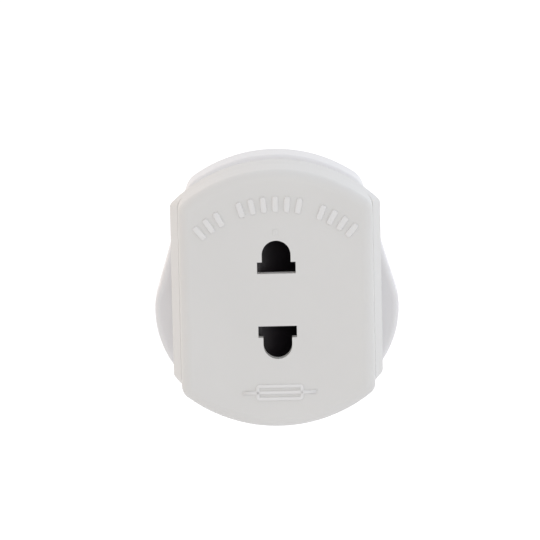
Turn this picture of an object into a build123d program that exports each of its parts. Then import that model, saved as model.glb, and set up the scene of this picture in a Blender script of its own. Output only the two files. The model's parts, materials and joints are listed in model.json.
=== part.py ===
from build123d import *
import os

os.makedirs("parts", exist_ok=True)

# The adapter is modelled as it sits in a wall socket, in millimetres: X to the right, Y into
# the wall and Z up. The wall plane is Y = 0, and every height below is measured from it
# towards the hand. Z = 0 is midway between the two shaver openings.

# Housing: depths and outline
body_depth = 31.0
cap_depth = 13.0
flange_depth = 9.0
crown_radius = 29.0
cap_half_height = 25.4
face_width = 37.8
brow_depth = 9.0
flare_step = 0.25
mouth_width = 41.3
mouth_flare = 0.3
waist_width = 33.8
brow_corner = 2.6
mouth_corner = 1.5
inner_corner = 1.2
face_round = 2.2

# Flange: two lobes joined by tapering sides to an arched top
lobe_offset = 4.8
lobe_radius = 19.5
lobe_margin = 0.1
lobe_rise = 6.9
side_taper = 16.9
wing_round = 8.0
flange_crown_radius = 28.4
flange_crown_margin = 0.25
shoulder_round = 4.5
flange_round = 1.2
rear_round = 0.5

# Walls and fits
face_wall = 2.2
side_wall = 1.8
crown_wall = 2.0
floor_wall = 3.0
spigot_gap = 0.3
spigot_length = 3.5
running_gap = 0.2
assembly_gap = 0.1
pin_fit = 0.05

# Shaver openings: a wide slot for flat blades with a round-ended way for round pins
blade_slot_width = 7.5
blade_slot_inner = 5.17
blade_slot_outer = 7.46
round_way_radius = 2.8
round_way_outer = 11.69

# Plug pins, to the national standard for 13 A plugs
pin_spacing = 22.23
earth_rise = 22.23
pin_line_drop = 6.6
pin_width = 6.35
pin_thickness = 3.97
pin_length = 17.7
earth_pin_width = 3.97
earth_pin_height = 7.92
earth_pin_length = 22.73
pin_tip_bevel = 1.1
pin_edge_round = 0.35
sleeve_length = 9.5
sleeve_root = 1.0
sleeve_wall = 0.5
pin_shoulder_width = 7.6
pin_shoulder_height = 6.0
shoulder_thickness = 2.0
earth_shoulder_margin = 1.2
spigot_radius = 1.25
rivet_head_radius = 1.7
rivet_head_height = 0.7

# Fuse, its clips and its carrier
fuse_drop = 4.8
fuse_length = 19.0
fuse_cap_radius = 2.5
fuse_cap_length = 4.8
fuse_cap_wall = 0.25
fuse_cap_round = 0.4
fuse_height = 5.5
clip_length = 3.8
clip_thickness = 0.5
clip_grip_gap = 0.05
clip_mouth = 0.7
clip_jaw_drop = 1.9
clip_lead = 1.2
clip_bend = 0.4
carrier_lid_thickness = 1.2
carrier_lip = 0.8
carrier_plug_width = 8.7
carrier_plug_margin = 2.0
carrier_plug_depth = 2.4
cradle_length = 7.0
cradle_wall = 1.2
cradle_rise = 1.1
cradle_seat_width = 2.0
well_wall = 1.0
well_clearance = 0.6
pry_notch_radius = 1.6

# Straps, contacts and their rivets
strap_thickness = 0.7
strap_width = 4.4
strap_bend = 0.6
strap_end_margin = 1.2
strap_toe = 2.2
strap_corner = 2.4
neutral_strap_drop = 0.8
link_end_margin = 1.8
contact_thickness = 0.45
contact_width = 6.6
contact_throat = 3.8
contact_bend = 0.8
contact_mouth_inset = 0.8
contact_tip_gap = 0.3
contact_throat_depth = 3.6
contact_belly = 1.7
contact_belly_height = 2.6
contact_foot = 1.3
contact_rivet_offset = 7.4
contact_rivet_radius = 0.9
clip_rivet_radius = 0.8
small_head_radius = 1.5
small_head_height = 0.6

# Contact carrier
tray_height = 10.0
tray_thickness = 1.5
cell_half_width = 5.0
cell_wall = 1.0
cell_inner = 4.4
ledge_width = 0.8
leg_radius = 1.5
leg_across = 11.5
upper_leg_rise = 3.5
earth_foot_half = 2.5

# Shutter and its spring
shutter_height = 21.5
shutter_travel = 7.7
shutter_plate = 1.5
shutter_rail = 0.85
shutter_overlap = 0.35
shutter_bridge = 1.2
wedge_land = 1.0
wedge_gap = 0.4
spring_wire = 0.4
spring_radius = 1.8
spring_turns = 8
spring_post_left = 7.6
spring_post_thickness = 1.4
spring_post_half = 2.8
bridge_margin = 1.0
spring_spigot_radius = 1.25
spring_spigot_length = 1.8

# Fixings between cap and base
fixing_across = 9.0
fixing_margin = 8.3
cap_boss_radius = 2.1
cap_boss_foot = 6.0
base_boss_radius = 2.6
peg_radius = 1.3
peg_length = 2.4
screw_radius = 1.3
screw_head_radius = 2.4
screw_head_height = 1.6
screw_seat_wall = 1.0
screw_length = 12.0
screw_point = 1.5
screw_tip_bevel = 0.8
drive_slot_width = 0.8
drive_slot_length = 3.1
drive_slot_depth = 1.1

# Heights and places that follow from the sizes above
cap_rear = body_depth - cap_depth
brow_height = body_depth - brow_depth
face_inner = body_depth - face_wall
crown_drop = crown_radius - cap_half_height
flange_top = cap_half_height - flange_crown_margin
lobe_drop = cap_half_height - lobe_margin - lobe_radius
waist_inset = crown_wall + spigot_gap
contact_seat = tray_height + tray_thickness
pin_x = pin_spacing / 2
pin_z = -pin_line_drop
earth_z = earth_rise - pin_line_drop
shoulder_top = floor_wall + shoulder_thickness
screw_seat = floor_wall - screw_seat_wall
lower_leg_z = pin_z - pin_shoulder_height / 2 - assembly_gap - leg_radius
earth_shoulder_width = earth_pin_width + 2 * earth_shoulder_margin
earth_shoulder_height = earth_pin_height + 2 * earth_shoulder_margin
fuse_z = -fuse_drop
clip_reach = (fuse_length - fuse_cap_length) / 2
supply_z = fuse_z - clip_reach
load_z = fuse_z + clip_reach
clip_inner = fuse_cap_radius + clip_grip_gap
strap_underside = tray_height - strap_thickness
clip_base = strap_underside - clip_thickness
wedge_half = blade_slot_width / 2 + shutter_overlap
strap_z = pin_z - neutral_strap_drop
strap_way = (strap_z - strap_width / 2 - assembly_gap, strap_z + strap_width / 2 + assembly_gap)
riser_x = pin_x - pin_shoulder_width / 2 + strap_thickness
riser_outer = -riser_x - strap_thickness / 2 - running_gap
way_inner = blade_slot_inner - shutter_overlap
way_outer = round_way_outer + shutter_overlap
shutter_half = way_outer + shutter_rail
shutter_room = shutter_half + running_gap
shutter_left = -wedge_half
window_end = wedge_half + shutter_travel
shutter_right = window_end + shutter_bridge
wedge_top = face_inner - wedge_gap
track_half = shutter_room + cell_wall
track_left = shutter_left - shutter_travel - running_gap - cell_wall
track_right = shutter_right + running_gap + cell_wall
spring_axis = (shutter_height + wedge_top) / 2
fixing_rise = cap_half_height - fixing_margin
screw_points = [(-fixing_across, -fixing_rise), (fixing_across, -fixing_rise)]
peg_points = [(-fixing_across, fixing_rise), (fixing_across, fixing_rise)]


def at_height(height):
    """Sketch plane parallel to the wall, extruding towards the hand."""
    return Plane.XZ.offset(height)


def plan_at(z):
    """Sketch plane seen from above, whose second axis is the height from the wall."""
    return Plane(origin=(0, 0, z), x_dir=(1, 0, 0), z_dir=(0, 0, -1))


def span(x_from, x_to, y_from, y_to, mode=Mode.ADD):
    """Rectangle between two pairs of limits, drawn into the open sketch."""
    with Locations(((x_from + x_to) / 2, (y_from + y_to) / 2)):
        Rectangle(x_to - x_from, y_to - y_from, mode=mode)


def arched_outline(half_width, inset, corner):
    """Flat-sided outline with arched top and bottom, set in from the cap's crowns."""
    with BuildSketch(mode=Mode.PRIVATE) as outline:
        with Locations((0, -crown_drop)):
            Circle(crown_radius - inset)
        with Locations((0, crown_drop)):
            Circle(crown_radius - inset, mode=Mode.INTERSECT)
        Rectangle(2 * half_width, 2 * crown_radius, mode=Mode.INTERSECT)
        fillet(outline.vertices(), corner)
    return outline.sketch


# Outline of the flange that meets the wall socket
with BuildSketch() as flange_outline:
    with BuildLine():
        lobe = CenterArc((lobe_offset, -lobe_drop), lobe_radius, -90, 90 + lobe_rise)
        side = PolarLine(lobe @ 1, 1.5 * crown_radius, 90 + side_taper)
        Line(side @ 1, (0, (side @ 1).Y))
        Line((0, -lobe_drop - lobe_radius), lobe @ 0)
        mirror(about=Plane.YZ)
    make_face()
    wing_corners = flange_outline.vertices().group_by(Axis.X)
    fillet(wing_corners[0] + wing_corners[-1], wing_round)
    with BuildSketch(mode=Mode.PRIVATE) as above_crown:
        span(-2 * crown_radius, 2 * crown_radius, 0, 2 * crown_radius)
        with Locations((0, flange_top - flange_crown_radius)):
            Circle(flange_crown_radius, mode=Mode.SUBTRACT)
    add(above_crown.sketch, mode=Mode.SUBTRACT)
    fillet(flange_outline.vertices().group_by(Axis.Y)[-1], shoulder_round)

# Outline of both shaver openings
with BuildSketch() as socket_outline:
    span(-blade_slot_width / 2, blade_slot_width / 2, blade_slot_inner, blade_slot_outer)
    with Locations((0, round_way_outer - round_way_radius)):
        Circle(round_way_radius)
    span(-round_way_radius, round_way_radius, blade_slot_inner, round_way_outer - round_way_radius)
    mirror(about=Plane.XZ)

# Front cover: the cap with the shaver openings
with BuildPart() as front_cover:
    with BuildSketch(at_height(cap_rear)):
        add(arched_outline(mouth_width / 2, -mouth_flare, mouth_corner))
    with BuildSketch(at_height(brow_height)):
        add(arched_outline(face_width / 2 + flare_step, 0, brow_corner))
    loft()
    with BuildSketch(at_height(brow_height)):
        add(arched_outline(face_width / 2, 0, brow_corner))
    extrude(amount=brow_depth)
    fillet(front_cover.faces().sort_by(Axis.Y)[0].edges(), face_round)

    # Hollow: a mouth that takes the base's spigot, and a narrower brow
    with BuildSketch(at_height(cap_rear)):
        add(arched_outline(waist_width / 2 + spigot_gap, crown_wall, inner_corner))
    extrude(amount=brow_height - cap_rear, mode=Mode.SUBTRACT)
    with BuildSketch(at_height(brow_height)):
        add(arched_outline(face_width / 2 - side_wall, crown_wall, inner_corner))
    extrude(amount=face_inner - brow_height, mode=Mode.SUBTRACT)

    # Bosses for screws and locating pegs, which leave the shutter its room
    with BuildSketch(at_height(cap_boss_foot)):
        with Locations(*screw_points, *peg_points):
            Circle(cap_boss_radius)
        span(track_left, track_right, -shutter_room, shutter_room, mode=Mode.SUBTRACT)
    extrude(amount=face_inner - cap_boss_foot)
    with BuildSketch(at_height(cap_boss_foot - peg_length)):
        with Locations(*peg_points):
            Circle(peg_radius)
    extrude(amount=peg_length)
    with BuildSketch(at_height(cap_boss_foot)):
        with Locations(*screw_points):
            Circle(screw_radius)
    extrude(amount=screw_length, mode=Mode.SUBTRACT)

    with BuildSketch(at_height(face_inner)):
        add(socket_outline.sketch)
    extrude(amount=face_wall, mode=Mode.SUBTRACT)

# Rear base: flange, finger waist and spigot, with a floor that carries the pins
with BuildPart() as rear_base:
    with BuildSketch(at_height(0)):
        add(flange_outline.sketch)
    extrude(amount=flange_depth)
    fillet(rear_base.faces().sort_by(Axis.Y)[0].edges(), flange_round)
    fillet(rear_base.faces().sort_by(Axis.Y)[-1].edges(), rear_round)
    with BuildSketch(at_height(flange_depth)):
        add(arched_outline(waist_width / 2, waist_inset, inner_corner))
    extrude(amount=cap_rear + spigot_length - flange_depth)
    with BuildSketch(at_height(floor_wall)):
        add(arched_outline(waist_width / 2 - side_wall, waist_inset + side_wall, inner_corner))
    extrude(amount=cap_rear + spigot_length - floor_wall, mode=Mode.SUBTRACT)

    # Fuse well, and bosses round the screws and pegs
    well_half_width = carrier_plug_width / 2 + assembly_gap
    well_half_length = fuse_length / 2 + carrier_plug_margin + assembly_gap
    with BuildSketch(at_height(floor_wall)):
        with Locations((0, fuse_z)):
            Rectangle(2 * (well_half_width + well_wall), 2 * (well_half_length + well_wall))
    extrude(amount=clip_base - well_clearance - floor_wall)
    with BuildSketch(at_height(floor_wall)):
        with Locations(*screw_points, *peg_points):
            Circle(base_boss_radius)
    extrude(amount=cap_boss_foot - floor_wall)

    # Openings in the floor
    with BuildSketch(at_height(0)):
        with Locations((-pin_x, pin_z), (pin_x, pin_z)):
            Rectangle(pin_width + 2 * pin_fit, pin_thickness + 2 * pin_fit)
        with Locations((0, earth_z)):
            Rectangle(earth_pin_width + 2 * pin_fit, earth_pin_height + 2 * pin_fit)
        with Locations((0, fuse_z)):
            Rectangle(2 * well_half_width, 2 * well_half_length)
    extrude(amount=clip_base, mode=Mode.SUBTRACT)
    with BuildSketch(at_height(floor_wall)):
        with Locations((0, earth_z)):
            Rectangle(earth_shoulder_width + 2 * assembly_gap, earth_shoulder_height + 2 * assembly_gap)
    extrude(amount=shoulder_thickness, mode=Mode.SUBTRACT)
    with BuildSketch(at_height(0)):
        lip = carrier_lip + assembly_gap
        with Locations((0, fuse_z)):
            Rectangle(2 * (well_half_width + lip), 2 * (well_half_length + lip))
        with Locations((0, fuse_z + well_half_length + lip)):
            Circle(pry_notch_radius)
    extrude(amount=carrier_lid_thickness + assembly_gap, mode=Mode.SUBTRACT)
    with BuildSketch(at_height(0)):
        with Locations(*screw_points):
            Circle(screw_head_radius + running_gap)
    extrude(amount=screw_seat, mode=Mode.SUBTRACT)
    with BuildSketch(at_height(screw_seat)):
        with Locations(*screw_points):
            Circle(screw_radius + running_gap)
        with Locations(*peg_points):
            Circle(peg_radius + assembly_gap)
    extrude(amount=cap_boss_foot - screw_seat, mode=Mode.SUBTRACT)

# Plug pins: blade, neck under the sleeve, shoulder on the floor and a riveted spigot
neck_width = pin_width - 2 * sleeve_wall
neck_thickness = pin_thickness - 2 * sleeve_wall
brass_pins = {}
sleeves = {}
for name, x in (("neutral_pin", -pin_x), ("live_pin", pin_x)):
    with BuildPart() as brass_pin:
        with BuildSketch(at_height(-pin_length)):
            with Locations((x, pin_z)):
                Rectangle(pin_width, pin_thickness)
        extrude(amount=pin_length + floor_wall)
        chamfer(brass_pin.faces().sort_by(Axis.Y)[-1].edges(), pin_tip_bevel)
        fillet(brass_pin.edges().filter_by(Axis.Y), pin_edge_round)
        with BuildSketch(at_height(-sleeve_length)):
            with Locations((x, pin_z)):
                Rectangle(2 * pin_width, 2 * pin_thickness)
                Rectangle(neck_width, neck_thickness, mode=Mode.SUBTRACT)
        extrude(amount=sleeve_length + sleeve_root, mode=Mode.SUBTRACT)
        with BuildSketch(at_height(floor_wall)):
            with Locations((x, pin_z)):
                Rectangle(pin_shoulder_width, pin_shoulder_height)
        extrude(amount=shoulder_thickness)
        with BuildSketch(at_height(shoulder_top)):
            with Locations((x, pin_z)):
                Circle(spigot_radius)
        extrude(amount=strap_thickness)
        with BuildSketch(at_height(shoulder_top + strap_thickness)):
            with Locations((x, pin_z)):
                Circle(rivet_head_radius)
        extrude(amount=rivet_head_height)
    brass_pins[name] = brass_pin

    with BuildPart() as sleeve:
        with BuildSketch(at_height(-sleeve_length)) as ring:
            with Locations((x, pin_z)):
                Rectangle(pin_width, pin_thickness)
            fillet(ring.vertices(), pin_edge_round)
            with Locations((x, pin_z)):
                Rectangle(neck_width, neck_thickness, mode=Mode.SUBTRACT)
        extrude(amount=sleeve_length + sleeve_root)
    sleeves[name + "_sleeve"] = sleeve

# Plastic pin that opens the wall socket's shutter
with BuildPart() as earth_pin:
    with BuildSketch(at_height(-earth_pin_length)):
        with Locations((0, earth_z)):
            Rectangle(earth_pin_width, earth_pin_height)
    extrude(amount=earth_pin_length + floor_wall)
    chamfer(earth_pin.faces().sort_by(Axis.Y)[-1].edges(), pin_tip_bevel)
    fillet(earth_pin.edges().filter_by(Axis.Y), pin_edge_round)
    with BuildSketch(at_height(floor_wall)):
        with Locations((0, earth_z)):
            Rectangle(earth_shoulder_width, earth_shoulder_height)
    extrude(amount=shoulder_thickness)

# Contact carrier: a tray on legs, with two contact cells and the shutter's track
with BuildPart() as contact_carrier:
    with BuildSketch(at_height(tray_height)):
        span(track_left, track_right, -track_half, track_half)
    extrude(amount=tray_thickness)
    with BuildSketch(at_height(contact_seat)):
        span(track_left, track_right, -track_half, track_half)
        span(
            track_left + cell_wall,
            track_right - cell_wall,
            cell_wall - track_half,
            track_half - cell_wall,
            mode=Mode.SUBTRACT,
        )
    extrude(amount=face_inner - contact_seat)

    # Ledges that the shutter rides on, and the walls of the contact cells
    with BuildSketch(at_height(contact_seat)):
        ledge = track_half - cell_wall - ledge_width
        for side in (1, -1):
            outer_ledge = sorted((side * ledge, side * track_half))
            inner_ledge = sorted((side * (cell_inner - cell_wall), side * cell_inner))
            cell_side = sorted((side * cell_inner, side * ledge))
            span(track_left, track_right, *outer_ledge)
            span(-cell_half_width - cell_wall, track_right, *inner_ledge)
            span(-cell_half_width - cell_wall, -cell_half_width, *cell_side)
            span(cell_half_width, cell_half_width + cell_wall, *cell_side)
    extrude(amount=shutter_height - running_gap - contact_seat)

    # Post that the spring pushes against
    with BuildSketch(at_height(contact_seat)):
        span(
            -spring_post_left,
            spring_post_thickness - spring_post_left,
            -spring_post_half,
            spring_post_half,
        )
    extrude(amount=spring_axis + spring_post_half - contact_seat)
    with BuildSketch(Plane.YZ.offset(spring_post_thickness - spring_post_left)):
        with Locations((-spring_axis, 0)):
            Circle(spring_spigot_radius)
    extrude(amount=spring_spigot_length)

    # Legs to the floor, and the foot that holds the earth pin down
    with BuildSketch(at_height(floor_wall)):
        with Locations(
            (-leg_across, upper_leg_rise),
            (leg_across, upper_leg_rise),
            (-leg_across, lower_leg_z),
            (leg_across, lower_leg_z),
        ):
            Circle(leg_radius)
    extrude(amount=tray_height - floor_wall)
    with BuildSketch(at_height(shoulder_top)):
        span(-earth_foot_half, earth_foot_half, earth_z - earth_pin_height / 2, track_half)
    extrude(amount=tray_height - shoulder_top)

    # Notches round the cap's bosses
    with BuildSketch(at_height(tray_height)):
        with Locations(*screw_points, *peg_points):
            Circle(cap_boss_radius + assembly_gap)
    extrude(amount=face_inner - tray_height, mode=Mode.SUBTRACT)

    # Holes for the contact rivets, pockets for the clip rivets, and the neutral strap's way
    with BuildSketch(at_height(tray_height)):
        with Locations((0, contact_rivet_offset), (0, -contact_rivet_offset)):
            Circle(contact_rivet_radius)
        span(riser_outer, -riser_x + strap_thickness / 2 + strap_bend, *strap_way)
    extrude(amount=tray_thickness, mode=Mode.SUBTRACT)
    with BuildSketch(at_height(tray_height)):
        with Locations((0, supply_z), (0, load_z)):
            Circle(small_head_radius + assembly_gap)
    extrude(amount=small_head_height + assembly_gap, mode=Mode.SUBTRACT)
    with BuildSketch(at_height(contact_seat - strap_thickness)):
        span(riser_outer, strap_toe + assembly_gap, *strap_way)
    extrude(amount=strap_thickness, mode=Mode.SUBTRACT)

# Fuse: ceramic tube between two plated caps
with BuildPart() as fuse_tube:
    with BuildSketch(Plane.XY.offset(fuse_z - fuse_length / 2 + fuse_cap_wall)):
        with Locations((0, -fuse_height)):
            Circle(fuse_cap_radius - fuse_cap_wall)
    extrude(amount=fuse_length - 2 * fuse_cap_wall)

fuse_caps = {}
for name, direction in (("supply_fuse_cap", -1), ("load_fuse_cap", 1)):
    end_z = fuse_z + direction * fuse_length / 2
    with BuildPart() as fuse_cap:
        with BuildSketch(Plane.XY.offset(end_z)):
            with Locations((0, -fuse_height)):
                Circle(fuse_cap_radius)
        extrude(amount=-direction * fuse_cap_length)
        fillet(fuse_cap.edges().group_by(Axis.Z)[-1 if direction > 0 else 0], fuse_cap_round)
        with BuildSketch(Plane.XY.offset(end_z - direction * fuse_cap_wall)):
            with Locations((0, -fuse_height)):
                Circle(fuse_cap_radius - fuse_cap_wall)
        extrude(amount=-direction * fuse_cap_length, mode=Mode.SUBTRACT)
    fuse_caps[name] = fuse_cap

# Fuse clips: bent strip with two straight jaws and flared mouths
fuse_clips = {}
leaf_x = clip_inner + clip_thickness / 2
jaw_end = fuse_height - clip_jaw_drop
for name, clip_z in (("supply_fuse_clip", supply_z), ("load_fuse_clip", load_z)):
    with BuildPart() as fuse_clip:
        with BuildSketch(plan_at(clip_z)):
            with BuildLine():
                FilletPolyline(
                    (-leaf_x - clip_mouth, jaw_end),
                    (-leaf_x, jaw_end + clip_lead),
                    (-leaf_x, clip_base + clip_thickness / 2),
                    (leaf_x, clip_base + clip_thickness / 2),
                    (leaf_x, jaw_end + clip_lead),
                    (leaf_x + clip_mouth, jaw_end),
                    radius=clip_bend,
                )
            trace(line_width=clip_thickness)
        extrude(amount=clip_length / 2, both=True)
        with BuildSketch(at_height(clip_base)):
            with Locations((0, clip_z)):
                Circle(clip_rivet_radius)
        extrude(amount=clip_thickness, mode=Mode.SUBTRACT)
    fuse_clips[name] = fuse_clip

# Shaver contacts: bent strip whose two legs pinch in to a throat and flare out to the shutter
contacts = {}
contact_tip = shutter_height - 2 * running_gap - contact_tip_gap
contact_foot_height = contact_seat + contact_thickness / 2
tip_x = cell_half_width - contact_mouth_inset
throat_x = contact_throat / 2 + contact_thickness / 2
throat_height = contact_tip + contact_tip_gap - contact_throat_depth
belly_x = throat_x + contact_belly
belly_top = contact_seat + contact_belly_height
foot_x = throat_x + contact_foot
for name, side in (("live_contact", 1), ("neutral_contact", -1)):
    with BuildPart() as contact:
        with BuildSketch(plan_at(side * (way_inner + way_outer) / 2)):
            with BuildLine():
                FilletPolyline(
                    (-tip_x, contact_tip),
                    (-throat_x, throat_height),
                    (-belly_x, belly_top),
                    (-foot_x, contact_foot_height),
                    (foot_x, contact_foot_height),
                    (belly_x, belly_top),
                    (throat_x, throat_height),
                    (tip_x, contact_tip),
                    radius=contact_bend,
                )
            trace(line_width=contact_thickness)
        extrude(amount=contact_width / 2, both=True)
        with BuildSketch(at_height(contact_seat)):
            with Locations((0, side * contact_rivet_offset)):
                Circle(contact_rivet_radius)
        extrude(amount=contact_thickness, mode=Mode.SUBTRACT)
    contacts[name] = contact

# Strap from the neutral pin, up through the tray, to the lower contact
strap_foot = pin_x + spigot_radius + strap_end_margin
with BuildPart() as neutral_link:
    with BuildSketch(plan_at(strap_z)):
        with BuildLine():
            FilletPolyline(
                (strap_toe, contact_seat - strap_thickness / 2),
                (-riser_x, contact_seat - strap_thickness / 2),
                (-riser_x, shoulder_top + strap_thickness / 2),
                (-strap_foot, shoulder_top + strap_thickness / 2),
                radius=strap_bend,
            )
        trace(line_width=strap_thickness)
    extrude(amount=strap_width / 2, both=True)
    with BuildSketch(at_height(shoulder_top)):
        with Locations((-pin_x, pin_z)):
            Circle(spigot_radius)
    extrude(amount=strap_thickness, mode=Mode.SUBTRACT)
    with BuildSketch(at_height(contact_seat - strap_thickness)):
        with Locations((0, -contact_rivet_offset)):
            Circle(contact_rivet_radius)
    extrude(amount=strap_thickness, mode=Mode.SUBTRACT)

# Strap from the live pin to the lower fuse clip
with BuildPart() as live_link:
    with BuildSketch(plan_at(pin_z)):
        with BuildLine():
            FilletPolyline(
                (riser_x - strap_corner, strap_underside + strap_thickness / 2),
                (riser_x, strap_underside + strap_thickness / 2),
                (riser_x, shoulder_top + strap_thickness / 2),
                (strap_foot, shoulder_top + strap_thickness / 2),
                radius=strap_bend,
            )
        trace(line_width=strap_thickness)
    extrude(amount=strap_width / 2, both=True)
    with BuildSketch(at_height(strap_underside)):
        corner_x = riser_x - strap_corner
        strap_low = supply_z - strap_width / 2
        span(corner_x, riser_x - strap_bend, strap_low, pin_z + strap_width / 2)
        span(-strap_toe, corner_x, strap_low, supply_z + strap_width / 2)
    extrude(amount=strap_thickness)
    with BuildSketch(at_height(shoulder_top)):
        with Locations((pin_x, pin_z)):
            Circle(spigot_radius)
    extrude(amount=strap_thickness, mode=Mode.SUBTRACT)
    with BuildSketch(at_height(strap_underside)):
        with Locations((0, supply_z)):
            Circle(clip_rivet_radius)
    extrude(amount=strap_thickness, mode=Mode.SUBTRACT)

# Strap from the upper fuse clip to the upper contact
with BuildPart() as load_link:
    with BuildSketch(at_height(strap_underside)):
        link_ends = (load_z - link_end_margin, contact_rivet_offset + link_end_margin)
        span(-strap_width / 2, strap_width / 2, *link_ends)
        with Locations((0, load_z)):
            Circle(clip_rivet_radius, mode=Mode.SUBTRACT)
        with Locations((0, contact_rivet_offset)):
            Circle(contact_rivet_radius, mode=Mode.SUBTRACT)
    extrude(amount=strap_thickness)


def rivet(z, radius, low, high):
    """Rivet shank between two heights on the middle line, with a head beyond each end."""
    upright = (Align.CENTER, Align.CENTER, Align.MIN)
    place = Location((0, z, 0))
    head = Cylinder(small_head_radius, small_head_height, align=upright)
    shank = Cylinder(radius, high - low, align=upright)
    first = at_height(low - small_head_height) * place * head
    middle = at_height(low) * place * shank
    last = at_height(high) * place * head
    return first + middle + last


contact_top = contact_seat + contact_thickness
live_rivet = rivet(contact_rivet_offset, contact_rivet_radius, strap_underside, contact_top)
neutral_rivet = rivet(-contact_rivet_offset, contact_rivet_radius, tray_height, contact_top)
supply_rivet = rivet(supply_z, clip_rivet_radius, clip_base, tray_height)
load_rivet = rivet(load_z, clip_rivet_radius, clip_base, tray_height)
with BuildPart() as contact_rivets:
    add([live_rivet, neutral_rivet])
with BuildPart() as clip_rivets:
    add([supply_rivet, load_rivet])

# Fuse carrier: lid in the wall face, plug in the well and a cradle round the fuse
with BuildPart() as fuse_carrier:
    plug_length = fuse_length + 2 * carrier_plug_margin
    with BuildSketch(at_height(0)):
        with Locations((0, fuse_z)):
            Rectangle(carrier_plug_width + 2 * carrier_lip, plug_length + 2 * carrier_lip)
    extrude(amount=carrier_lid_thickness)
    with BuildSketch(at_height(carrier_lid_thickness)):
        with Locations((0, fuse_z)):
            Rectangle(carrier_plug_width, plug_length)
    extrude(amount=carrier_plug_depth - carrier_lid_thickness)
    cradle_half = fuse_cap_radius - fuse_cap_wall + cradle_wall
    with BuildSketch(plan_at(fuse_z)):
        span(-cradle_half, cradle_half, carrier_plug_depth, fuse_height + cradle_rise)
        with Locations((0, fuse_height)):
            Circle(fuse_cap_radius - fuse_cap_wall, mode=Mode.SUBTRACT)
    extrude(amount=cradle_length / 2, both=True)
    with BuildSketch(at_height(carrier_plug_depth)):
        with Locations((0, supply_z), (0, load_z)):
            Rectangle(cradle_seat_width, clip_length)
    extrude(amount=fuse_height - fuse_cap_radius - carrier_plug_depth)

# Shutter: a sliding frame with a ramp under each opening and a window beside each ramp
with BuildPart() as shutter:
    with BuildSketch(at_height(shutter_height)):
        span(shutter_left, shutter_right, -shutter_half, shutter_half)
        span(shutter_left, window_end, cell_wall - cell_inner, cell_inner - cell_wall, mode=Mode.SUBTRACT)
        for side in (1, -1):
            window = sorted((side * way_inner, side * way_outer))
            span(wedge_half, window_end, *window, mode=Mode.SUBTRACT)
    extrude(amount=shutter_plate)
    for side in (1, -1):
        with BuildSketch(plan_at(side * (way_inner + way_outer) / 2)):
            with BuildLine():
                Polyline(
                    (shutter_left, shutter_height),
                    (wedge_half, shutter_height),
                    (wedge_half, shutter_height + shutter_plate),
                    (shutter_left + wedge_land, wedge_top),
                    (shutter_left, wedge_top),
                    (shutter_left, shutter_height),
                )
            make_face()
        extrude(amount=(way_outer - way_inner) / 2, both=True)
    with BuildSketch(at_height(shutter_height)):
        bridge_half = spring_post_half + bridge_margin
        span(window_end, shutter_right, -bridge_half, bridge_half)
    extrude(amount=wedge_top - shutter_height)
    with BuildSketch(Plane.YZ.offset(window_end)):
        with Locations((-spring_axis, 0)):
            Circle(spring_spigot_radius)
    extrude(amount=-spring_spigot_length)

# Return spring between the carrier's post and the shutter's bridge
spring_start = spring_post_thickness - spring_post_left
spring_span = window_end - spring_start
with BuildPart() as shutter_spring:
    with BuildLine() as coil:
        Helix(
            pitch=(spring_span - spring_wire) / spring_turns,
            height=spring_span - spring_wire,
            radius=spring_radius,
            center=(spring_start + spring_wire / 2, -spring_axis, 0),
            direction=(1, 0, 0),
        )
    with BuildSketch(Plane(origin=coil.line @ 0, z_dir=coil.line % 0)):
        Circle(spring_wire / 2)
    sweep()

# Case screws, driven from the wall face
with BuildPart() as case_screws:
    with BuildSketch(at_height(screw_seat - screw_head_height)):
        with Locations(*screw_points):
            Circle(screw_head_radius)
    extrude(amount=screw_head_height)
    with BuildSketch(at_height(screw_seat)):
        with Locations(*screw_points):
            Circle(screw_radius)
    extrude(amount=screw_length + cap_boss_foot - screw_seat - screw_point)
    chamfer(case_screws.edges().group_by(Axis.Y)[0], screw_tip_bevel)
    with BuildSketch(at_height(screw_seat - screw_head_height)):
        with Locations(*screw_points):
            Rectangle(drive_slot_width, drive_slot_length)
            Rectangle(drive_slot_length, drive_slot_width)
    extrude(amount=drive_slot_depth, mode=Mode.SUBTRACT)

pieces = {
    "front_cover": front_cover,
    "rear_base": rear_base,
    "contact_carrier": contact_carrier,
    "earth_pin": earth_pin,
    **brass_pins,
    **sleeves,
    "live_link": live_link,
    "neutral_link": neutral_link,
    "load_link": load_link,
    **fuse_clips,
    **contacts,
    "contact_rivets": contact_rivets,
    "clip_rivets": clip_rivets,
    "case_screws": case_screws,
    "shutter_spring": shutter_spring,
    "shutter": shutter,
    "fuse_carrier": fuse_carrier,
    "fuse_tube": fuse_tube,
    **fuse_caps,
}
for name, piece in pieces.items():
    piece.part.label = name
    export_step(piece.part, f"parts/{name}.step")
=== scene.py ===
"""Shaver adapter plug: finishes, raised marks, spring, threads, camera and light round the frame."""

# %% [markdown]
# # Shaver adapter plug
#
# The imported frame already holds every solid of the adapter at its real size: the arched cap, the
# flared base, pins, fuse, contacts and shutter. This script gives each solid the finish of its
# real material. It adds what is too fine for the solids, which is the raised marks on the socket
# face, the wound spring and the screw threads. Then it sets camera and light. Everything is in
# metres, with +X to the right, +Y into the wall and +Z up.

# %% Load the frame
import json
import math

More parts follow.
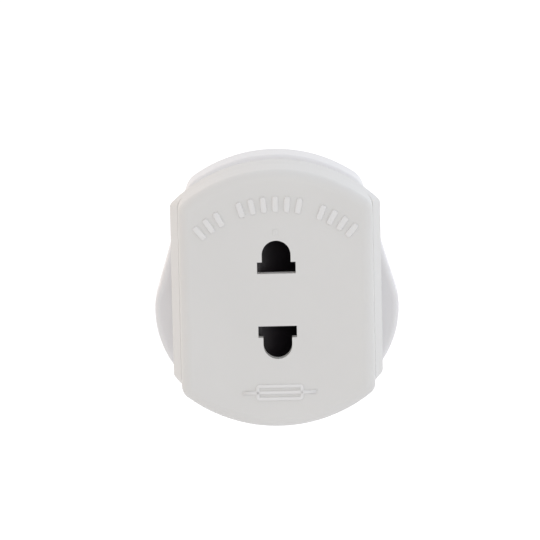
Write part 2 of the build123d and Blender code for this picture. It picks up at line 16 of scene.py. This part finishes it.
import bpy
import numpy as np
from mathutils import Matrix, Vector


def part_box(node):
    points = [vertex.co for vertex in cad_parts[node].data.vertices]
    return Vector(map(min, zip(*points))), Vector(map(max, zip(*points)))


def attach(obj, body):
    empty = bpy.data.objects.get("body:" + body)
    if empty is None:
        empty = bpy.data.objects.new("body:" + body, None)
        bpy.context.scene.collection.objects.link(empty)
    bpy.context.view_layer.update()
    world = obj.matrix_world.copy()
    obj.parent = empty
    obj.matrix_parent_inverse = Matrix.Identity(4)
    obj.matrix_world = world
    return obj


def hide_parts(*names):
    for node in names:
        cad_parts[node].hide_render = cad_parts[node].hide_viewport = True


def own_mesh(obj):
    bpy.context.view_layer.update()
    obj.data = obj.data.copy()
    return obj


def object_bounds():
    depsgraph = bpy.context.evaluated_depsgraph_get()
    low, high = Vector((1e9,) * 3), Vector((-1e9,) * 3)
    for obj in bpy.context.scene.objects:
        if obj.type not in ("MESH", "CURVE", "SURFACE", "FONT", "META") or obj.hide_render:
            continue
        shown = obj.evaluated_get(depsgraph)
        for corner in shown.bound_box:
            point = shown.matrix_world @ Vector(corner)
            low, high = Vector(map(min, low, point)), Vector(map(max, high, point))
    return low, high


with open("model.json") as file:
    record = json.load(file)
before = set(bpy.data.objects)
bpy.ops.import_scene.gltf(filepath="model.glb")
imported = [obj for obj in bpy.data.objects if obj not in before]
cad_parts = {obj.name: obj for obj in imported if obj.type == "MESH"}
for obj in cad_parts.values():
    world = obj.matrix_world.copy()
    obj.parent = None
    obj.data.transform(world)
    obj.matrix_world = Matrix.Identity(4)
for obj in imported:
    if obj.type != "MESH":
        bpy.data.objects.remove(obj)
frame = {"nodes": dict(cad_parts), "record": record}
cad_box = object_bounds()
nodes = frame["nodes"]
mm = 0.001
face_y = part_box("front_cover")[0].y
print("face at y", round(face_y / mm, 2), "mm")

# %% [markdown]
# ## Colours and shader nodes
#
# Colours are written as the hex codes a painter's chart gives, which are sRGB, while shaders work
# in linear light. One function converts them. Nodes could be made and linked one line at a time,
# but a single call that adds a node with its settings and links lets each material below read as
# a list of what it is made of. Noise sizes and bump depths are given in real millimetres.


# %% Colour and node helpers
def linear(code):
    """sRGB hex to linear: c / 12.92 below 0.04045, else ((c + 0.055) / 1.055) ** 2.4."""
    channels = np.array([int(code[i:i + 2], 16) for i in (1, 3, 5)]) / 255
    low = channels / 12.92
    high = ((channels + 0.055) / 1.055) ** 2.4
    return (*np.where(channels <= 0.04045, low, high).tolist(), 1.0)


def add_node(tree, kind, inputs=None, **settings):
    """Adds one node: settings are its attributes, inputs maps sockets to a value or an output."""
    made = tree.nodes.new(kind)
    for name, value in settings.items():
        setattr(made, name, value)
    for name, value in (inputs or {}).items():
        if isinstance(value, bpy.types.NodeSocket):
            tree.links.new(value, made.inputs[name])
        else:
            made.inputs[name].default_value = value
    return made


def start_material(name, **sockets):
    """A new material with one Principled shader whose plain sockets are set by name."""
    material = bpy.data.materials.new(name)
    material.use_nodes = True
    shader = material.node_tree.nodes["Principled BSDF"]
    for socket, value in sockets.items():
        shader.inputs[socket.replace("_", " ")].default_value = value
    return material, material.node_tree, shader


def noise_of_size(tree, size_mm, detail=2.0, stretch=(1, 1, 1)):
    """Noise whose grains are size_mm across, on Object coordinates, drawn out by stretch."""
    place = add_node(tree, "ShaderNodeTexCoord")
    scale = tuple(1 / (size_mm * mm * s) for s in stretch)
    mapped = add_node(tree, "ShaderNodeMapping", {"Vector": place.outputs["Object"], "Scale": scale})
    grain = {"Vector": mapped.outputs["Vector"], "Scale": 1.0, "Detail": detail}
    return add_node(tree, "ShaderNodeTexNoise", grain).outputs["Fac"]


def between(tree, factor, low, high):
    """Maps a 0 to 1 factor to the range low to high."""
    spread = {"Value": factor, "To Min": low, "To Max": high}
    return add_node(tree, "ShaderNodeMapRange", spread).outputs["Result"]


def shade_between(tree, factor, first, second):
    """Blends two hex colours by a factor."""
    blend = add_node(tree, "ShaderNodeMix", data_type="RGBA")
    tree.links.new(factor, blend.inputs["Factor"])
    blend.inputs["A"].default_value = linear(first)
    blend.inputs["B"].default_value = linear(second)
    return blend.outputs["Result"]


def bump_of(tree, height, depth_mm, normal=None):
    """Bump from a 0 to 1 height field whose full height is depth_mm."""
    inputs = {"Height": height, "Distance": depth_mm * mm, "Strength": 1.0}
    if normal is not None:
        inputs["Normal"] = normal
    return add_node(tree, "ShaderNodeBump", inputs).outputs["Normal"]


print("white reads", [round(c, 3) for c in linear("#ffffff")])

# %% [markdown]
# ## White moulded plastic
#
# Cap and base are urea-formaldehyde, the hard white thermoset of wiring accessories, pressed in
# steel tools. The cap's tool was spark-eroded and the base's was polished. The eye reads a soft
# satin: broad highlights, no mirror image, edges softened by light that sinks in about a
# millimetre, and a faint unevenness where the wall shrank on cooling. One flat colour would look
# like card. So three noises carry it: spark grain of 0.12 mm in gloss and relief, shrinkage waves
# of 9 mm in relief, and flow marks of 14 mm that move the colour by two steps in a hundred.


# %% White moulded plastic
grain_size, wave_size, flow_size = 0.12, 9.0, 14.0
wave_depth = 0.03
gloss_spread = 0.05


def white_moulding(name, deep, pale, grain_depth, roughness):
    """Urea moulding: colour by the flow marks, gloss by the grain, relief by grain and waves."""
    material, tree, shader = start_material(
        name, IOR=1.56, Subsurface_Weight=0.08, Subsurface_Scale=1.2 * mm
    )
    shader.inputs["Subsurface Radius"].default_value = (1.0, 0.95, 0.85)
    flow = noise_of_size(tree, flow_size, 3.0)
    grain = noise_of_size(tree, grain_size, 3.0)
    waves = noise_of_size(tree, wave_size, 1.0)
    gloss = between(tree, grain, roughness - gloss_spread, roughness + gloss_spread)
    tree.links.new(shade_between(tree, flow, deep, pale), shader.inputs["Base Color"])
    tree.links.new(gloss, shader.inputs["Roughness"])
    slow = bump_of(tree, waves, wave_depth)
    tree.links.new(bump_of(tree, grain, grain_depth, slow), shader.inputs["Normal"])
    return material


satin_white = white_moulding("urea_white_spark_grain", "#d8d7d4", "#dddcd9", 0.004, 0.46)
# Painted light: this white is paler than the cap's, to brighten the base's wings where the cap shades
# them.
polished_white_painted_light = white_moulding("urea_white_polished_painted_light", "#e3e2e2", "#e7e6e6", 0.0015, 0.34)
# Painted highlight: the marks' white is paler than the cap's, so their raised tops read brighter; its
# lower roughness makes them a little glossier.
marks_white_painted_light = white_moulding("urea_white_marks_painted_light", "#e0dfdd", "#e5e4e2", 0.002, 0.42)
print("made", satin_white.name, polished_white_painted_light.name, marks_white_painted_light.name)

# %% [markdown]
# ## Inner and dark plastics
#
# The shutter slides, so it is acetal, which is black right through and slightly waxy. The sleeves
# on the pins and the tray that carries the contacts are glass-filled nylon, a little rougher. The
# black ones could be set to pure black, but then nothing of their form would show: even a black
# plastic sends back a hundredth or two of the light, and so do these. Clouds of 5 mm vary colour
# and gloss, and a fine grain the relief.


# %% Inner and dark plastics
cloud_size = 5.0
mould_grain_depth = 0.006
cloud_gloss = 0.06


def filled_moulding(name, deep, pale, roughness, grain_mm):
    """Acetal or nylon moulding: colour and gloss by the same clouds, relief by a fine grain."""
    material, tree, shader = start_material(name, IOR=1.48)
    grain = noise_of_size(tree, grain_mm, 3.0)
    clouds = noise_of_size(tree, cloud_size, 2.0)
    gloss = between(tree, clouds, roughness - cloud_gloss, roughness + cloud_gloss)
    tree.links.new(shade_between(tree, clouds, deep, pale), shader.inputs["Base Color"])
    tree.links.new(gloss, shader.inputs["Roughness"])
    tree.links.new(bump_of(tree, grain, mould_grain_depth), shader.inputs["Normal"])
    return material


acetal_black = filled_moulding("acetal_black_shutter", "#1a171a", "#242024", 0.38, 0.2)
nylon_sleeve = filled_moulding("nylon_black_sleeve", "#161617", "#212122", 0.5, 0.12)
nylon_tray = filled_moulding("nylon_grey_tray", "#b9b7b2", "#c4c2bd", 0.5, 0.15)
print("made", acetal_black.name, nylon_sleeve.name, nylon_tray.name)

# %% [markdown]
# ## Metals
#
# The pins are drawn brass bar with fine lines along their length. Straps, clips and contacts are
# rolled brass strip, a little paler, with fine upright lines. The screws are bright zinc, the
# spring is drawn wire and the fuse caps are bright nickel. A metal's look is mostly its
# reflections, so colour alone can't tell drawn from rolled. Each metal gets a noise in gloss and
# relief, stretched along the way it was worked, and patches of tarnish 3.5 mm across.


# %% Metals
tarnish_size = 3.5
line_depth = 0.003
line_polish, line_dulling = 0.08, 0.12
along_pin = (1, 30, 1)
upright = (1, 1, 25)
along_wire = (12, 1, 1)
no_lines = (1, 1, 1)


def worked_metal(name, light, dull, roughness, line_mm, stretch):
    """Bare metal: colour by the tarnish, gloss and relief by noise stretched along the work."""
    material, tree, shader = start_material(name, Metallic=1.0)
    lines = noise_of_size(tree, line_mm, 4.0, stretch)
    tarnish = noise_of_size(tree, tarnish_size, 3.0)
    gloss = between(tree, lines, roughness - line_polish, roughness + line_dulling)
    tree.links.new(shade_between(tree, tarnish, light, dull), shader.inputs["Base Color"])
    tree.links.new(gloss, shader.inputs["Roughness"])
    tree.links.new(bump_of(tree, lines, line_depth), shader.inputs["Normal"])
    return material


drawn_brass = worked_metal("brass_drawn_pin", "#d9b978", "#c7a35e", 0.24, 0.08, along_pin)
rolled_brass = worked_metal("brass_rolled_strip", "#d8bd83", "#c3a468", 0.3, 0.06, upright)
bright_zinc = worked_metal("steel_bright_zinc", "#cfd2d6", "#b4b8bd", 0.3, 0.15, no_lines)
spring_wire = worked_metal("steel_drawn_wire", "#b3b5b8", "#9a9ca0", 0.32, 0.05, along_wire)
bright_nickel = worked_metal("nickel_fuse_cap", "#d6d2c8", "#c4beb1", 0.2, 0.1, no_lines)
print("metals", [m.name for m in (drawn_brass, rolled_brass, bright_zinc, spring_wire, bright_nickel)])

# %% [markdown]
# ## Fuse tube
#
# The fuse's body is unglazed steatite, a dense off-white ceramic with a dry, even surface. Its
# pores are too small to see, so the grain here is drawn at 0.3 mm, as coarse as it needs to show.

# %% Fuse ceramic
pore_size = 0.3
pore_depth = 0.01
steatite, tree, shader = start_material("steatite_fuse_tube", IOR=1.6)
pores = noise_of_size(tree, pore_size, 4.0)
tree.links.new(shade_between(tree, pores, "#e7e2d6", "#f0ece2"), shader.inputs["Base Color"])
tree.links.new(between(tree, pores, low=0.6, high=0.75), shader.inputs["Roughness"])
tree.links.new(bump_of(tree, pores, pore_depth), shader.inputs["Normal"])
print("made", steatite.name)

# %% [markdown]
# ## Dress the solids
#
# A solid whose form is right keeps its mesh and only has its material slots filled. That could be
# done node by node, but the record already says which slot each node takes, so one table from
# slot to finish dresses all of them. Three white ones come from a polished tool and take the
# glossier white: the base, the fuse carrier that sits flush in it, and the earth pin. That white is
# also paler than the cap's, which is painted light: it brightens the base's wings where the cap
# shades them.

# %% Dress the solids
finishes = {
    "white_plastic": satin_white,
    "carrier_plastic": nylon_tray,
    "black_plastic": acetal_black,
    "sleeve_plastic": nylon_sleeve,
    "pin_brass": drawn_brass,
    "strap_brass": rolled_brass,
    "plated_steel": bright_zinc,
    "spring_steel": spring_wire,
    "fuse_ceramic": steatite,
    "cap_plating": bright_nickel,
}
paler_polished_parts = ("rear_base", "fuse_carrier", "earth_pin")
for part in frame["record"]["subparts"]:
    painted_paler = part["node"] in paler_polished_parts
    mesh = nodes[part["node"]].data
    mesh.materials.clear()
    mesh.materials.append(polished_white_painted_light if painted_paler else finishes[part["material_slot"]])

# %% [markdown]
# ## Meshes from grids
#
# Each piece below is a grid of points worked out at once with numpy: rings of points, one behind
# the other, joined by quads. A flat face closes each end, unless the last ring joins the first.
# Curve and text objects could make some of these shapes, but a grid gives a closed mesh with few
# faces, whose size is exact.


# %% Meshes from grids
def mesh_piece(name, points, faces, material):
    """One smooth-shaded object at the origin, from point and face lists, in one material."""
    mesh = bpy.data.meshes.new(name)
    mesh.from_pydata(points.tolist(), [], faces)
    mesh.polygons.foreach_set("use_smooth", np.ones(len(mesh.polygons), bool))
    mesh.materials.append(material)
    mesh.update()
    piece = bpy.data.objects.new(name, mesh)
    bpy.context.scene.collection.objects.link(piece)
    return piece


def ring_faces(rings, around):
    """Quads from each ring's points to the next ring's, and a flat face on the two end rings."""
    ring, step = np.meshgrid(np.arange(rings - 1), np.arange(around), indexing="ij")
    here = ring * around + step
    beside = ring * around + (step + 1) % around
    quads = np.stack([here, beside, beside + around, here + around], axis=-1).reshape(-1, 4)
    bottom = list(range(around))[::-1]
    top = list(range((rings - 1) * around, rings * around))
    return quads.tolist() + [bottom, top]


def joined(grids):
    """Several (points, faces) grids as one: each grid's face numbers count on past the last."""
    counts = [len(points) for points, _ in grids]
    starts = np.cumsum([0] + counts[:-1]).tolist()
    faces = [[v + start for v in face] for start, grid in zip(starts, grids) for face in grid[1]]
    return np.concatenate([points for points, _ in grids]), faces


print("a tube of 2 rings of 8 points has", len(ring_faces(2, 8)), "faces")

# %% [markdown]
# ## Raised bars along the crown
#
# The face has marks in relief, moulded with the cap: a band that follows the crown above the
# openings and a short one below them. Here they are plain. The upper band is a row of radial bars,
# each a small pad with soft shoulders, 0.38 mm proud and rooted a little below the face so that
# no gap shows. A relief drawn as bump would vanish from the side, so they are real shapes.


# %% Raised bars along the crown
mark_root = 0.3 * mm


def pad(width, height, rise, shoulder_across, shoulder_up, around=32, shoulder_rings=6):
    """Rounded pad: superellipse rings |x/a|^5 + |z/b|^5 = 1, shrinking by the shoulder profile."""
    angle = np.linspace(0, 2 * np.pi, around, endpoint=False)
    power = 2 / 5
    outline_x = np.sign(np.cos(angle)) * np.abs(np.cos(angle)) ** power * width / 2
    outline_z = np.sign(np.sin(angle)) * np.abs(np.sin(angle)) ** power * height / 2
    turn = np.linspace(0, np.pi / 2, shoulder_rings)
    inset = np.concatenate([[0], shoulder_across * (1 - np.cos(turn))])
    level = np.concatenate([[-mark_root], rise - shoulder_up * (1 - np.sin(turn))])
    x = np.outer(1 - inset / (width / 2), outline_x)
    z = np.outer(1 - inset / (height / 2), outline_z)
    y = -np.repeat(level[:, None], around, axis=1)
    return np.stack([x, y, z], axis=-1).reshape(-1, 3), ring_faces(len(level), around)


arc_centre_z = -4.0 * mm
arc_radius = 22.85 * mm
bar_width = 1.2 * mm
bar_height = 3.05 * mm
bar_rise = 0.38 * mm
bar_pitch = math.radians(5.75)
bar_groups = (3, 6, 4)
bar_shoulder_across, bar_shoulder_up = 0.2 * mm, 0.3 * mm
bar_points, bar_faces = pad(bar_width, bar_height, bar_rise, bar_shoulder_across, bar_shoulder_up)


def turned_bar(angle):
    """The bar lifted to the arc's radius and turned: (x cos + z sin, z cos - x sin)."""
    x = bar_points[:, 0]
    z = bar_points[:, 2] + arc_radius
    across = x * math.cos(angle) + z * math.sin(angle)
    up = z * math.cos(angle) - x * math.sin(angle) + arc_centre_z
    return np.stack([across, bar_points[:, 1] + face_y, up], axis=-1)


group_starts = np.cumsum([0] + [count + 1 for count in bar_groups[:-1]])
steps = np.concatenate([start + np.arange(count) for start, count in zip(group_starts, bar_groups)])
bar_angles = (steps - steps[-1] / 2) * bar_pitch
crown_points, crown_faces = joined([(turned_bar(angle), bar_faces) for angle in bar_angles])
# The bars take the paler marks' white, a painted highlight.
crown_bars = mesh_piece("crown_bars", crown_points, crown_faces, marks_white_painted_light)
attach(crown_bars, "housing")
print("bars", len(bar_angles), "over", round(math.degrees(bar_angles[-1] - bar_angles[0]), 1), "degrees")

# %% [markdown]
# ## Moulding pip
#
# Just above the upper opening the real cap has a faint round spot, which the tool left. A dot of
# colour would look printed, so it is the same pad, nearly round and a tenth of a millimetre high.

# %% Moulding pip
pip_width = 1.1 * mm
pip_height = 1.2 * mm
pip_rise = 0.1 * mm
pip_place = np.array([-0.1 * mm, face_y, 13.3 * mm])
pip_shoulder_across, pip_shoulder_up = 0.45 * mm, 0.09 * mm
pip_points, pip_faces = pad(pip_width, pip_height, pip_rise, pip_shoulder_across, pip_shoulder_up)
gate_pip = mesh_piece("gate_pip", pip_points + pip_place, pip_faces, satin_white)
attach(gate_pip, "housing")
print("pip", len(pip_points), "points")

# %% [markdown]
# ## Fuse sign
#
# The lower band is the sign that wiring drawings use for a fuse: a line through a box. Both are
# one ridge of the same section, carried along a path. A swept curve would need its corners mended
# by hand, while here each corner's section is widened by its mitre, so that the ridge keeps its
# width all the way round.


# %% Fuse sign
mark_rise = 0.3 * mm
root_half, shoulder_half, crest_half = 0.36 * mm, 0.33 * mm, 0.2 * mm
shoulder_drop = 0.1 * mm
sharpest_mitre = 0.3


def ridge(path, closed):
    """Ridge along a flat path: a section of six points, offset along the mitred normal."""
    path = np.asarray(path, float)
    after = np.roll(path, -1, axis=0) - path
    before = path - np.roll(path, 1, axis=0)
    if not closed:
        after[-1], before[0] = before[-1], after[0]
    along_after = after / np.linalg.norm(after, axis=1)[:, None]
    along_before = before / np.linalg.norm(before, axis=1)[:, None]
    along = along_after + along_before
    along /= np.linalg.norm(along, axis=1)[:, None]
    across = np.stack([-along[:, 1], along[:, 0]], axis=-1)
    reach = 1 / np.maximum(np.sum(along * along_after, axis=1), sharpest_mitre)
    half = np.array([root_half, shoulder_half, crest_half])
    half = np.concatenate([half, -half[::-1]])
    level = np.array([-mark_root, mark_rise - shoulder_drop, mark_rise])
    level = np.concatenate([level, level[::-1]])
    flat = path[:, None, :] + across[:, None, :] * (half[None, :, None] * reach[:, None, None])
    y = np.broadcast_to(face_y - level, flat.shape[:2])
    points = np.stack([flat[..., 0], y, flat[..., 1]], axis=-1)
    count, around = flat.shape[:2]
    faces = ring_faces(count, around)
    if closed:
        last, side = (count - 1) * around, np.arange(around)
        beside = (side + 1) % around
        joins = np.stack([last + side, last + beside, beside, side], axis=-1)
        faces = faces[:-2] + joins.tolist()
    return points.reshape(-1, 3), faces


def rounded_box(width, height, radius, centre, corner_points=6):
    """Closed path: four quarter circles of the radius, joined by straight sides."""
    quarter = np.linspace(0, np.pi / 2, corner_points)
    turns = (np.arange(4)[:, None] * np.pi / 2 + quarter[None, :]).ravel()
    corner = np.repeat(np.array([[1, 1], [-1, 1], [-1, -1], [1, -1]]), corner_points, axis=0)
    reach = corner * (np.array([width, height]) / 2 - radius)
    return reach + radius * np.stack([np.cos(turns), np.sin(turns)], axis=-1) + np.array(centre)


sign_x, sign_z = 0.2 * mm, -18.3 * mm
sign_width = 14.4 * mm
sign_box_width, sign_box_height, sign_box_corner = 8.6 * mm, 2.5 * mm, 0.4 * mm
line_points = 5
box_path = rounded_box(sign_box_width, sign_box_height, sign_box_corner, (sign_x, sign_z))
line_x = np.linspace(-sign_width / 2, sign_width / 2, line_points) + sign_x
line_path = np.stack([line_x, np.full_like(line_x, sign_z)], axis=-1)
sign_points, sign_faces = joined([ridge(box_path, True), ridge(line_path, False)])
# The sign takes the paler marks' white, a painted highlight.
fuse_sign = mesh_piece("fuse_sign", sign_points, sign_faces, marks_white_painted_light)
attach(fuse_sign, "housing")
print("sign", round(sign_width / mm, 1), "mm wide")

# %% [markdown]
# ## Return spring
#
# The solid spring keeps its open length at every pose, but a real one closes up when a plug pushes
# the shutter aside. So a wound one takes its place: a round wire carried along a helix, with its
# end turns closed as a spring winder leaves them. It is fixed to the housing at its open length.

# %% Return spring
spring_low, spring_high = (np.array(corner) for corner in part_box("shutter_spring"))
open_length = spring_high[0] - spring_low[0]
wire_radius = 0.2 * mm
coil_radius = (spring_high[2] - spring_low[2]) / 2 - wire_radius
coil_turns = 8
end_turn_spacing = 1.3
end_turn_pitch = end_turn_spacing * 2 * wire_radius


def coiled_wire(turns, per_turn=28, around=10):
    """Wire round the helix (x(t), r cos 2 pi n t, r sin 2 pi n t), slower in x on its end turns."""
    t = np.linspace(0, 1, turns * per_turn + 1)
    run = open_length - 2 * wire_radius
    closed = end_turn_pitch / run
    first_turn = np.clip(t * turns, 0, 1)
    last_turn = np.clip((t - 1) * turns + 1, 0, 1)
    open_turns = np.clip((t - 1 / turns) / (1 - 2 / turns), 0, 1)
    advance = first_turn * closed + open_turns * (1 - 2 * closed) + last_turn * closed
    turn = 2 * np.pi * turns * t
    radial = np.stack([np.zeros_like(t), np.cos(turn), np.sin(turn)], axis=-1)
    axis_x = spring_low[0] + wire_radius + advance * run
    axis_y = np.full_like(t, (spring_low[1] + spring_high[1]) / 2)
    axis_z = np.full_like(t, (spring_low[2] + spring_high[2]) / 2)
    line = np.stack([axis_x, axis_y, axis_z], axis=-1) + coil_radius * radial
    tangent = np.gradient(line, axis=0)
    tangent /= np.linalg.norm(tangent, axis=1)[:, None]
    side = np.cross(tangent, radial)
    angle = np.linspace(0, 2 * np.pi, around, endpoint=False)[None, :, None]
    section = np.cos(angle) * radial[:, None, :] + np.sin(angle) * side[:, None, :]
    points = line[:, None, :] + wire_radius * section
    return points.reshape(-1, 3), ring_faces(len(t), around)


spring_points, spring_faces = coiled_wire(coil_turns)
return_spring = mesh_piece("return_spring", spring_points, spring_faces, spring_wire)
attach(return_spring, "housing")
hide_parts("shutter_spring")
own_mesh(return_spring)

# %% [markdown]
# ## Screw threads
#
# The two case screws are thread-forming screws for plastic: a steep, sharp thread, widely spaced,
# that cuts its own way into the cap's bosses. Cut into the solid it would cost thousands of faces
# that nobody sees. So here it is a ridge of triangular section, carried along a helix round the
# plain shank, which runs out to nothing at both of its ends.

# %% Screw threads
screws_low, screws_high = (np.array(corner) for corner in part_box("case_screws"))
head_radius = (screws_high[2] - screws_low[2]) / 2
shank_radius = 1.3 * mm
thread_pitch = 1.1 * mm
thread_depth = 0.24 * mm
thread_turns = 9
tip_clear = 1.0 * mm
run_out_turns = 0.7
root_sunk, crest_sunk = 0.08 * mm, 0.05 * mm
root_half_width, crest_half_width = 0.3 * mm, 0.05 * mm


def screw_thread(centre_x, centre_z, per_turn=24):
    """Ridge round a shank: crest radius r(t) = shank + eased depth, one pitch along a turn."""
    t = np.linspace(0, 1, thread_turns * per_turn + 1)
    ease = np.clip(np.minimum(t, 1 - t) * thread_turns / run_out_turns, 0, 1)
    turn = 2 * np.pi * thread_turns * t
    forward = screws_low[1] + tip_clear + thread_pitch * thread_turns * t
    root = np.full_like(t, shank_radius - root_sunk)
    crest = shank_radius - crest_sunk + (thread_depth + crest_sunk) * ease
    radius = np.stack([root, root, crest, crest], axis=-1)
    along = np.array([root_half_width, -root_half_width, -crest_half_width, crest_half_width])
    x = centre_x + radius * np.cos(turn)[:, None]
    z = centre_z + radius * np.sin(turn)[:, None]
    y = forward[:, None] + along[None, :]
    return np.stack([x, y, z], axis=-1).reshape(-1, 3), ring_faces(len(t), len(along))


screw_z = (screws_low[2] + screws_high[2]) / 2
screw_places = (screws_low[0] + head_radius, screws_high[0] - head_radius)
thread_points, thread_faces = joined([screw_thread(screw_x, screw_z) for screw_x in screw_places])
screw_threads = mesh_piece("screw_threads", thread_points, thread_faces, bright_zinc)
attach(screw_threads, "housing")
print("threads", thread_turns, "turns over", round(thread_pitch * thread_turns / mm, 1), "mm")

# %% [markdown]
# ## Floor and background
#
# An adapter can't stand upright by itself: in use its pins hold it up in a wall socket. So it hangs
# clear of a seamless pale sheet, where nothing touches its lower edge and light comes back up from
# the sheet. The sheet's shader is a matt white with a little light of its own that only the camera,
# and rays bounced off gloss or sent through glass, can see. The open sheet then shows as plain
# white, while the object's shadow still falls on it and no extra light reaches the object. The
# world is plain white to the same rays, and a soft, slightly weaker surround to all others.


# %% Floor and background
def backdrop_rays(tree):
    """1 for rays that come from the camera, off gloss or through glass, and 0 for all others."""
    kind = add_node(tree, "ShaderNodeLightPath").outputs
    direct = {0: kind["Is Camera Ray"], 1: kind["Is Glossy Ray"]}
    seen = add_node(tree, "ShaderNodeMath", direct, operation="MAXIMUM").outputs[0]
    through = {0: seen, 1: kind["Is Transmission Ray"]}
    return add_node(tree, "ShaderNodeMath", through, operation="MAXIMUM").outputs[0]


sheet_size = 6.0
floor_drop = 45 * mm
sheet_glow = 0.33
floor_z = cad_box[0][2] - floor_drop
corners = np.array([[-1, -1, 0], [1, -1, 0], [1, 1, 0], [-1, 1, 0]]) * sheet_size / 2
corners[:, 2] = floor_z
paper = bpy.data.materials.new("paper_sweep")
paper.use_nodes = True
tree = paper.node_tree
tree.nodes.clear()
lift = add_node(tree, "ShaderNodeMath", {0: backdrop_rays(tree), 1: sheet_glow}, operation="MULTIPLY")
matt = add_node(tree, "ShaderNodeBsdfDiffuse", {"Color": linear("#fafafa")})
glow = add_node(tree, "ShaderNodeEmission", {"Color": (1, 1, 1, 1), "Strength": lift.outputs[0]})
both = add_node(tree, "ShaderNodeAddShader", {0: matt.outputs[0], 1: glow.outputs[0]})
add_node(tree, "ShaderNodeOutputMaterial", {"Surface": both.outputs[0]})
floor = mesh_piece("floor_sheet", corners, [[0, 1, 2, 3]], paper)

surround_level = 0.72
world = bpy.data.worlds.new("white_studio")
bpy.context.scene.world = world
world.use_nodes = True
tree = world.node_tree
tree.nodes.clear()
room = add_node(tree, "ShaderNodeBackground", {"Color": linear("#fdfdfc"), "Strength": surround_level})
white = add_node(tree, "ShaderNodeBackground", {"Color": (1, 1, 1, 1), "Strength": 1.0})
shown = {0: backdrop_rays(tree), 1: room.outputs[0], 2: white.outputs[0]}
mixed = add_node(tree, "ShaderNodeMixShader", shown)
add_node(tree, "ShaderNodeOutputWorld", {"Surface": mixed.outputs[0]})
print("floor at", round(floor_z / mm, 2), "mm")

# %% [markdown]
# ## Light
#
# The photograph was taken in a light tent: a bright even surround, and behind its cloth a few
# large lamps. A cool one high up makes the cap's top the brightest part. Those to the right are
# near white, those to the left are warm, and the one square to the left side is the weakest, so
# the left wing is a shade warmer and darker than the right one. Soft area lamps in those places do
# the same, and the world is the tent. Sun or spot lamps throw hard shadows that a tent never has.


# %% Lamps
def soft_box(name, place, size, power, colour):
    """Square area lamp at place, facing the origin: place and size in metres, power in watts."""
    data = bpy.data.lights.new(name, "AREA")
    data.shape = "SQUARE"
    data.size = size
    data.energy = power
    data.color = linear(colour)[:3]
    lamp = bpy.data.objects.new(name, data)
    bpy.context.scene.collection.objects.link(lamp)
    lamp.location = place
    lamp.rotation_euler = (-lamp.location).to_track_quat("-Z", "Y").to_euler()
    lamp.visible_camera = False
    return lamp


soft_box("top_box", (0.0, 0.1, 0.9), size=1.4, power=1.3, colour="#c4d6ff")
soft_box("left_box", (-0.9, -0.1, 0.3), size=1.0, power=0.8, colour="#ffcfa0")
soft_box("right_box", (0.9, -0.1, 0.3), size=1.0, power=1.6, colour="#ecf0ff")
soft_box("rear_left_box", (-0.6, 0.7, 0.35), size=0.9, power=1.15, colour="#ffdcc4")
soft_box("rear_right_box", (0.6, 0.7, 0.35), size=0.9, power=1.05, colour="#dcecff")
soft_box("front_box", (0.0, -1.1, 0.5), size=0.9, power=1.6, colour="#faf8ff")

# %% [markdown]
# ## Camera
#
# The picture is taken from straight in front and ten degrees above, from far enough away that the
# perspective is weak, with the camera tipped by about one degree. The lens follows from the
# picture's scale: so many pixels for each millimetre of the socket face. The camera could be aimed
# by a constraint, but its three axes, written out as the columns of its matrix, also give the tip.

# %% Camera
image_pixels = 540
face_scale = 5.15
face_centre_pixel = (277.0, 300.0)
camera_distance = 0.9
camera_elevation = math.radians(10.0)
camera_roll = math.radians(-1.2)
data = bpy.data.cameras.new("camera")
data.sensor_width = 36.0
data.lens = face_scale * camera_distance / mm * data.sensor_width / image_pixels
data.clip_end = 20.0
camera = bpy.data.objects.new("camera", data)
bpy.context.scene.collection.objects.link(camera)
back = np.array([0, -math.cos(camera_elevation), math.sin(camera_elevation)])
up = np.array([0, math.sin(camera_elevation), math.cos(camera_elevation)])
right = np.array([1.0, 0, 0])
up_rolled = up * math.cos(camera_roll) - right * math.sin(camera_roll)
right_rolled = right * math.cos(camera_roll) + up * math.sin(camera_roll)
off_x = (face_centre_pixel[0] - image_pixels / 2) / face_scale * mm
off_y = (image_pixels / 2 - face_centre_pixel[1]) / face_scale * mm
aim = np.array([0, face_y, 0]) - right_rolled * off_x - up_rolled * off_y
pose = np.eye(4)
pose[:3] = np.stack([right_rolled, up_rolled, back, aim + back * camera_distance], axis=-1)
camera.matrix_world = Matrix(pose.tolist())
bpy.context.scene.camera = camera
bpy.context.scene.view_settings.view_transform = "Standard"
print("lens", round(data.lens, 1), "mm")
